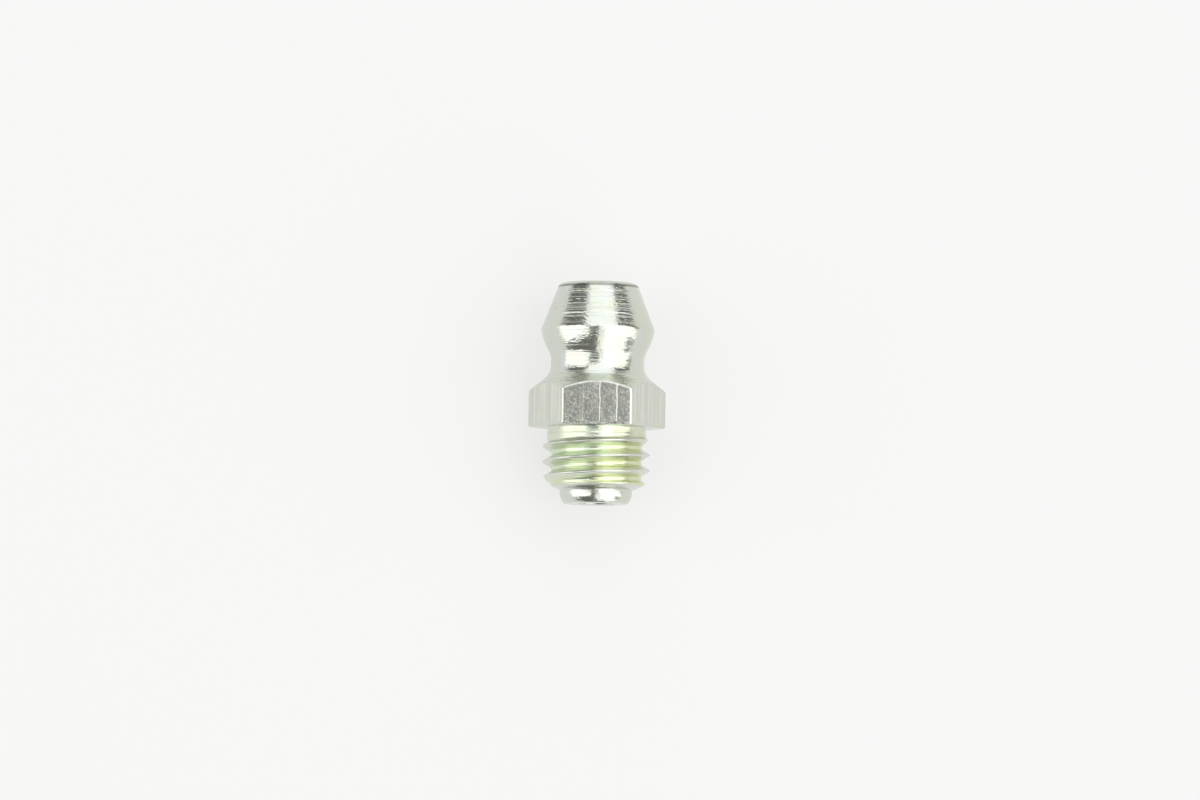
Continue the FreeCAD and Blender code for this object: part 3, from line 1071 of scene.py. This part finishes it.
# Drawing paper: matt and even, with a tooth too fine to see from here. Light comes through it
# from below, which the camera and the metal's reflections see, so the nipple's shadow is faint.
PAPER = "F4F4F3"
THROUGH_SHARE = 0.75
THROUGH_STRENGTH = 0.96

paper_white, tree, _ = new_material("drawing_paper")
lit_from_above = add_node(tree, "ShaderNodeBsdfDiffuse", {}, {"Color": colour(PAPER)})
lit_from_below = add_node(
    tree, "ShaderNodeEmission", {}, {"Color": colour(PAPER), "Strength": THROUGH_STRENGTH}
)
lit_from_both = add_node(
    tree,
    "ShaderNodeMixShader",
    {},
    {0: THROUGH_SHARE, 1: lit_from_above.outputs[0], 2: lit_from_below.outputs[0]},
)
ray = add_node(tree, "ShaderNodeLightPath", {}, {})
seen = add_node(
    tree,
    "ShaderNodeMath",
    {"operation": "MAXIMUM"},
    {0: ray.outputs["Is Camera Ray"], 1: ray.outputs["Is Glossy Ray"]},
)
paper_surface = add_node(
    tree,
    "ShaderNodeMixShader",
    {},
    {0: seen.outputs[0], 1: lit_from_above.outputs[0], 2: lit_from_both.outputs[0]},
)
add_node(tree, "ShaderNodeOutputMaterial", {}, {"Surface": paper_surface.outputs[0]})
paper_mesh.materials.append(paper_white)

# Lamps
# A large soft box stands left and another right of the camera, the right one with a dimmer inner
# edge, and one more hangs behind the head. The metal shows the dim room between as grey bands.

ROOM = (0.18, 0.18, 0.176, 1)
LAMP_DISTANCE = 500
SOFT_BOXES = [
    # name, direction to the lamp, turn about that direction, width, length, brightness, tint
    ("soft_box_left", (-0.807, -0.056, 0.588), 5, 680, 610, 1.48, (1, 1, 1)),
    ("soft_box_right", (0.776, -0.301, 0.554), 16, 640, 1130, 1.48, (1, 1, 1)),
    ("soft_box_right_rim", (0.206, -0.423, 0.882), 0, 180, 840, 1.15, (1, 1, 1)),
    ("soft_box_behind", (0.11, 0.73, 0.68), 0, 530, 720, 1.3, (0.96, 0.97, 1)),
]

for name, direction, turn, width, length, brightness, tint in SOFT_BOXES:
    outwards = Vector(direction).normalized()
    across = Vector((0, 1, 0)).cross(outwards).normalized()
    facing = Matrix((across, outwards.cross(across), outwards)).transposed()
    lamp_data = bpy.data.lights.new(name, "AREA")
    lamp_data.shape = "RECTANGLE"
    lamp_data.size = width * MM
    lamp_data.size_y = length * MM
    lamp_data.color = tint
    lamp_data.energy = brightness * math.pi * lamp_data.size * lamp_data.size_y
    lamp = put_in_scene(name, lamp_data)
    lamp.location = outwards * LAMP_DISTANCE * MM
    lamp.rotation_euler = (facing @ Matrix.Rotation(math.radians(turn), 3, "Z")).to_euler()

world = bpy.data.worlds.new("room")
world.use_nodes = True
world.node_tree.nodes["Background"].inputs["Color"].default_value = ROOM
scene.world = world

# A card stands low in front of the right lamp. The camera doesn't see it, and the head's back
# mirrors it as two small dark spots.
CARD_DISTANCE = 300
CARD_BEARING = math.radians(-33)
CARD_HALF_WIDTH = 42
CARD_HEIGHT = 85
CARD_GREY = "A0A0A0"

card_out = Vector((math.cos(CARD_BEARING), math.sin(CARD_BEARING), 0))
card_side = Vector((-card_out.y, card_out.x, 0)) * CARD_HALF_WIDTH
card_foot = card_out * CARD_DISTANCE + Vector((0, 0, -FLAT_RADIUS))
card_top = card_foot + Vector((0, 0, CARD_HEIGHT))
card_corners = [card_foot - card_side, card_foot + card_side]
card_corners += [card_top + card_side, card_top - card_side]
card_mesh = bpy.data.meshes.new("grey_card")
card_mesh.from_pydata([corner * MM for corner in card_corners], [], [(0, 1, 2, 3)])
card = put_in_scene("grey_card", card_mesh)
card.visible_camera = False

# Grey card: matt and even, so that it stays darker than the lamps from every side.
card_grey, tree, _ = new_material("matt_grey_card")
finish = add_node(tree, "ShaderNodeBsdfDiffuse", {}, {"Color": colour(CARD_GREY)})
add_node(tree, "ShaderNodeOutputMaterial", {}, {"Surface": finish.outputs[0]})
card_mesh.materials.append(card_grey)

# Camera
# It looks almost straight down from the thread's side, turned a little about its line of sight.

CAMERA_AIM = (0.17, 1.62, 0)
CAMERA_DISTANCE = 480
CAMERA_TILT = math.radians(3.9)
CAMERA_ROLL = math.radians(0.77)
CAMERA_SENSOR = 36
CAMERA_LENS = 249

camera_data = bpy.data.cameras.new("camera")
camera_data.sensor_width = CAMERA_SENSOR
camera_data.lens = CAMERA_LENS
camera = put_in_scene("camera", camera_data)
aimed = Matrix.Translation(Vector(CAMERA_AIM) * MM) @ Matrix.Rotation(CAMERA_TILT, 4, "X")
rolled = aimed @ Matrix.Rotation(CAMERA_ROLL, 4, "Z")
camera.matrix_world = rolled @ Matrix.Translation((0, 0, CAMERA_DISTANCE * MM))
scene.camera = camera

scene.view_settings.view_transform = "Standard"
